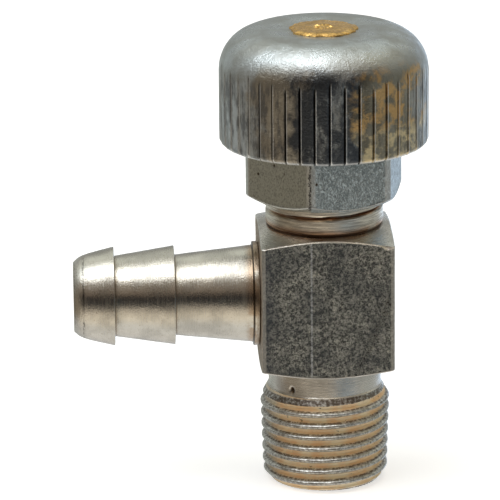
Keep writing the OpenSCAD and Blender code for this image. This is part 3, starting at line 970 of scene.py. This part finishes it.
def make_floor():
    """A pale floor that the metal doesn't mirror, because the world already holds its light."""
    half = 3.0
    mesh = bpy.data.meshes.new("floor")
    corners = [(-half, -half, 0), (half, -half, 0), (half, half, 0), (-half, half, 0)]
    mesh.from_pydata(corners, [], [(0, 1, 2, 3)])
    floor = bpy.data.objects.new("floor", mesh)
    floor.location.z = -0.0001
    bpy.context.collection.objects.link(floor)
    p = Paint("floor_white")
    p.shader.inputs["Emission Color"].default_value = (1, 1, 1, 1)
    p.shader.inputs["Emission Strength"].default_value = 0.55
    mesh.materials.append(p.done((0.82, 0.82, 0.82), 0.9, metallic=0.0))
    floor.visible_glossy = False


def make_world():
    """A soft studio: bright above, pale below, dark in front at eye level and tinted at the sides."""
    world = bpy.data.worlds.new("studio")
    bpy.context.scene.world = world
    world.use_nodes = True
    strength = 3
    nodes, links = world.node_tree.nodes, world.node_tree.links
    nodes.clear()
    look = nodes.new("ShaderNodeTexCoord").outputs["Generated"]
    split = nodes.new("ShaderNodeSeparateXYZ")
    links.new(look, split.inputs[0])

    def dimmed(colour):
        """A light's colour as the world's own, which is then made strength times as bright."""
        return (*[c / strength for c in colour], 1)

    def ramp(stops):
        """Colour by elevation in degrees."""
        node = nodes.new("ShaderNodeValToRGB")
        node.color_ramp.interpolation = "EASE"
        elements = node.color_ramp.elements
        while len(elements) < len(stops):
            elements.new(0.5)
        for element, (elevation, colour) in zip(elements, stops):
            element.position = 0.5 + 0.5 * math.sin(math.radians(elevation))
            element.color = dimmed(colour)
        half = nodes.new("ShaderNodeMath")
        half.operation = "MULTIPLY_ADD"
        half.inputs[1].default_value = 0.5
        half.inputs[2].default_value = 0.5
        links.new(split.outputs["Z"], half.inputs[0])
        links.new(half.outputs[0], node.inputs[0])
        return node.outputs["Color"]

    front = ramp([
        (-90, (0.85, 0.85, 0.83)),
        (-45, (0.97, 0.88, 0.74)),
        (-19, (0.6, 0.53, 0.44)),
        (-12, (0.07, 0.065, 0.06)),
        (12, (0.015, 0.015, 0.017)),
        (20, (0.22, 0.17, 0.13)),
        (50, (0.36, 0.32, 0.28)),
        (58, (0.55, 0.52, 0.47)),
        (90, (0.66, 0.65, 0.6)),
    ])
    back = ramp([
        (-90, (0.85, 0.83, 0.8)),
        (-30, (0.6, 0.6, 0.6)),
        (0, (0.34, 0.35, 0.34)),
        (18, (0.36, 0.36, 0.34)),
        (45, (0.8, 0.83, 0.77)),
        (90, (0.7, 0.7, 0.64)),
    ])

    def mix(share, a, b):
        node = nodes.new("ShaderNodeMix")
        node.data_type = "RGBA"
        for socket, value in ((node.inputs[0], share), (node.inputs[6], a), (node.inputs[7], b)):
            if isinstance(value, bpy.types.NodeSocket):
                links.new(value, socket)
            else:
                socket.default_value = value
        return node.outputs[2]

    def rise(value, low, high):
        """0 below low, 1 above high, and a smooth step between them."""
        node = nodes.new("ShaderNodeMapRange")
        node.interpolation_type = "SMOOTHSTEP"
        links.new(value, node.inputs["Value"])
        node.inputs["From Min"].default_value = low
        node.inputs["From Max"].default_value = high
        return node.outputs["Result"]

    def lobe(azimuth, elevation, width, core):
        """1 within core degrees of a direction, and 0 beyond width degrees from it."""
        dot = nodes.new("ShaderNodeVectorMath")
        dot.operation = "DOT_PRODUCT"
        links.new(look, dot.inputs[0])
        dot.inputs[1].default_value = direction(azimuth, elevation)
        return rise(dot.outputs["Value"], math.cos(math.radians(width)), math.cos(math.radians(core)))

    colour = mix(rise(split.outputs["Y"], -0.5, 0.3), front, back)
    # azimuth, elevation, width, core, colour
    tints = [
        (-82, -14, 40, 0, (0.25, 0.21, 0.16)),
        (-150, -14, 34, 4, (0.5, 0.53, 0.5)),
        (42, -14, 32, 0, (0.26, 0.32, 0.37)),
        (100, 0, 45, 0, (0.38, 0.4, 0.38)),
        (95, 50, 26, 6, (0.55, 0.47, 0.3)),
        (160, -16, 26, 6, (1.1, 1.3, 1.55)),
        (-2, 74, 17, 9, (1.5, 1.52, 1.5)),
        (-60, 66, 22, 12, (1.55, 1.62, 1.68)),
        (-102, 53, 20, 8, (1.35, 1.45, 1.5)),
        (16, 64, 9, 2, (1.4, 1.2, 0.85)),
    ]
    for azimuth, elevation, width, core, tint in tints:
        colour = mix(lobe(azimuth, elevation, width, core), colour, dimmed(tint))
    light = nodes.new("ShaderNodeBackground")
    light.inputs["Strength"].default_value = strength
    links.new(colour, light.inputs["Color"])
    backdrop = nodes.new("ShaderNodeBackground")
    backdrop.inputs["Color"].default_value = (1, 1, 1, 1)
    choose = nodes.new("ShaderNodeMixShader")
    path = nodes.new("ShaderNodeLightPath")
    links.new(path.outputs["Is Camera Ray"], choose.inputs[0])
    links.new(light.outputs[0], choose.inputs[1])
    links.new(backdrop.outputs[0], choose.inputs[2])
    out = nodes.new("ShaderNodeOutputWorld")
    links.new(choose.outputs[0], out.inputs["Surface"])


def make_lamp(name, azimuth, elevation, distance, size, watts):
    """A square area lamp that looks at the middle of the object."""
    centre = Vector((0, 0, 18 * MM))
    data = bpy.data.lights.new(name, "AREA")
    data.size = size
    data.energy = watts
    lamp = bpy.data.objects.new(name, data)
    lamp.location = centre + direction(azimuth, elevation) * distance
    lamp.rotation_euler = (centre - lamp.location).to_track_quat("-Z", "Y").to_euler()
    bpy.context.collection.objects.link(lamp)


def make_camera():
    """A long lens, level with the photograph's view: a little above and left of the front."""
    data = bpy.data.cameras.new("camera")
    data.sensor_width = 36
    data.lens = 308
    data.clip_start = 0.01
    data.clip_end = 10
    camera = bpy.data.objects.new("camera", data)
    distance = 0.323
    roll = math.radians(-0.5)
    standpoint = Vector((0, 0, 17.8 * MM)) + direction(-3.5, 16.4) * distance
    target = Vector((-5.6 * MM, 0.25 * MM, 17.82 * MM))
    camera.location = standpoint
    camera.rotation_euler = (target - standpoint).to_track_quat("-Z", "Y").to_euler()
    camera.rotation_euler.rotate_axis("Z", roll)
    bpy.context.collection.objects.link(camera)
    bpy.context.scene.camera = camera


make_camera()
make_floor()
make_world()
make_lamp("top_light", -60, 70, distance=0.5, size=0.35, watts=0.7)
bpy.context.scene.view_settings.view_transform = "Standard"

paints = {
    "drawn": drawn_nickel(),
    "turned": turned_nickel("turned_nickel", (0.4, 0.4, 14), (0.74, 0.71, 0.65)),
    "thread": stained_nickel(),
    "neck": stained_neck(),
    "tail": turned_nickel("tail_nickel", (14, 0.4, 0.4), (0.66, 0.63, 0.56), gloss=0.07, stain_x=COLLAR_X),
    "nut": worn_zinc(),
    "wheel": zinc_steel(),
    "brass": bare_brass(),
    "rivet": bare_brass("peened_brass", (0.98, 0.62, 0.21), 0.7),
    "packing": packing_plastic(),
    "ball": polished_steel(),
}
make_body(paints)
make_tail(paints)
make_nut(paints)
make_wheel(paints)
make_spindle(paints)
paint_nodes(paints)
